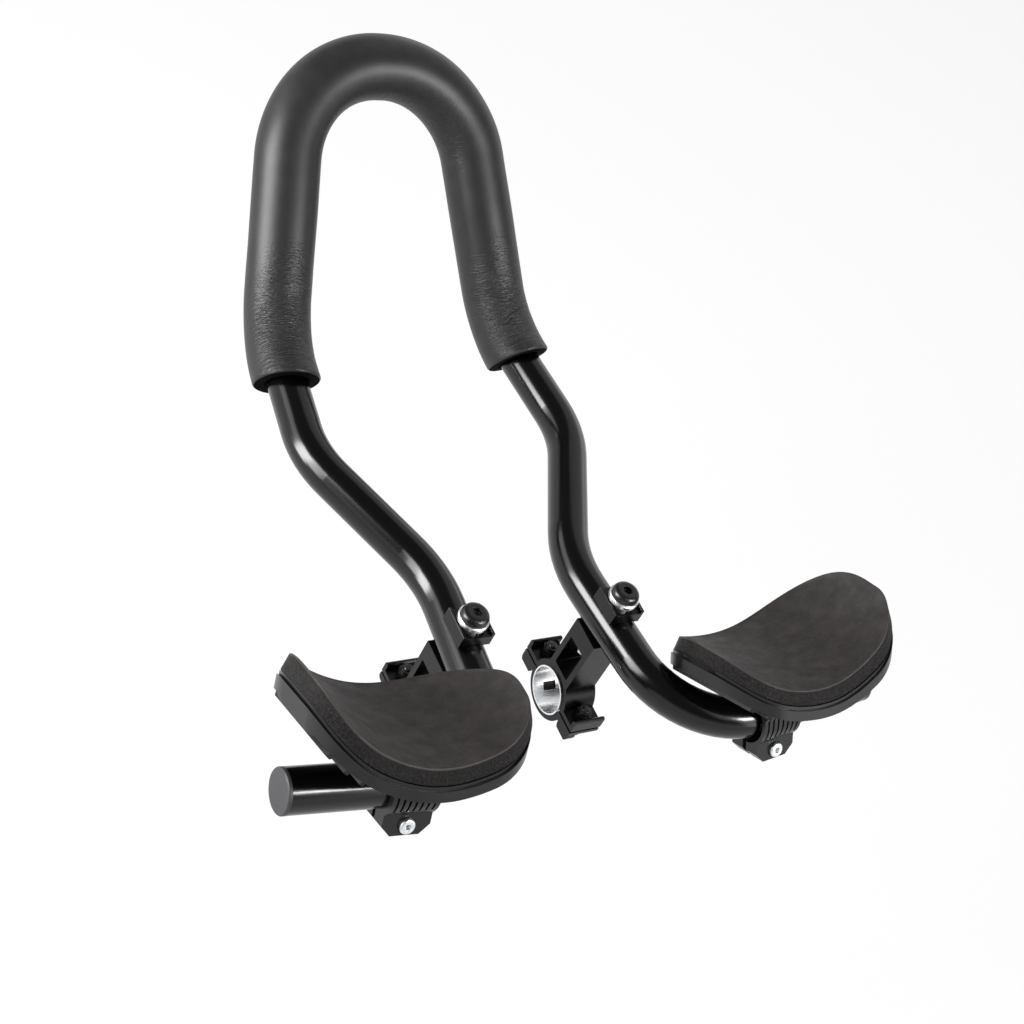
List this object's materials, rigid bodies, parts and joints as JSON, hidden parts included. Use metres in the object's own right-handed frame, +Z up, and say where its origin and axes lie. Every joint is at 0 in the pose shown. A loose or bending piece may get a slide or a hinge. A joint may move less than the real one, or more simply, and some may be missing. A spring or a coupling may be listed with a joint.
{
  "type": "aero handlebar extension",
  "caption": "U-shaped bent tube extension with a foam grip, clamps that hold it above a handlebar, and tilting armrests with trough-shaped pads.",
  "frame": {"origin": "on the axis of the handlebar that the clamps hold, midway between the clamps", "axes": "+X to the rider's right along the handlebar, +Y forward towards the grip, +Z up"},
  "size_m": [0.3016, 0.3746, 0.1783],
  "materials": {
    "bar_tube": "gloss",
    "grip_foam": "matte",
    "end_cap": "satin",
    "clamp_nylon": "satin",
    "shim_aluminium": "polished",
    "zinc_steel": "gloss",
    "chrome_steel": "polished",
    "black_steel": "satin",
    "pad_foam": "matte",
    "armrest_plastic": "satin"
  },
  "bodies": {
    "bar": {"bar_tube": "bar_tube", "foam_grip": "grip_foam", "end_cap_left": "end_cap", "clamp_upper_left": "clamp_nylon", "clamp_lower_left": "clamp_nylon", "clamp_shim_left": "shim_aluminium", "clamp_screws_left": "black_steel", "clamp_nuts_left": "black_steel", "saddle_left": "clamp_nylon", "spring_washer_left": "chrome_steel", "flat_washer_left": "chrome_steel", "saddle_bolt_left": "black_steel", "saddle_nut_left": "zinc_steel", "end_cap_right": "end_cap", "clamp_upper_right": "clamp_nylon", "clamp_lower_right": "clamp_nylon", "clamp_shim_right": "shim_aluminium", "clamp_screws_right": "black_steel", "clamp_nuts_right": "black_steel", "saddle_right": "clamp_nylon", "spring_washer_right": "chrome_steel", "flat_washer_right": "chrome_steel", "saddle_bolt_right": "black_steel", "saddle_nut_right": "zinc_steel"},
    "left_armrest": {"armrest_left": "armrest_plastic", "arm_pad_left": "pad_foam", "armrest_screw_left": "zinc_steel", "armrest_nut_left": "zinc_steel"},
    "right_armrest": {"armrest_right": "armrest_plastic", "arm_pad_right": "pad_foam", "armrest_screw_right": "zinc_steel", "armrest_nut_right": "zinc_steel"}
  },
  "joints": [
    {"name": "left_armrest_tilt", "type": "hinge", "parent": "bar", "child": "left_armrest", "pos_m": [-0.09542, -0.06274, 0.05709], "axis": [0.9944, -0.0887, -0.0576], "range_deg": [0, 40]},
    {"name": "right_armrest_tilt", "type": "hinge", "parent": "bar", "child": "right_armrest", "pos_m": [0.09124, -0.06312, 0.05685], "axis": [0.9944, 0.0887, 0.0576], "range_deg": [0, 40]}
  ]
}
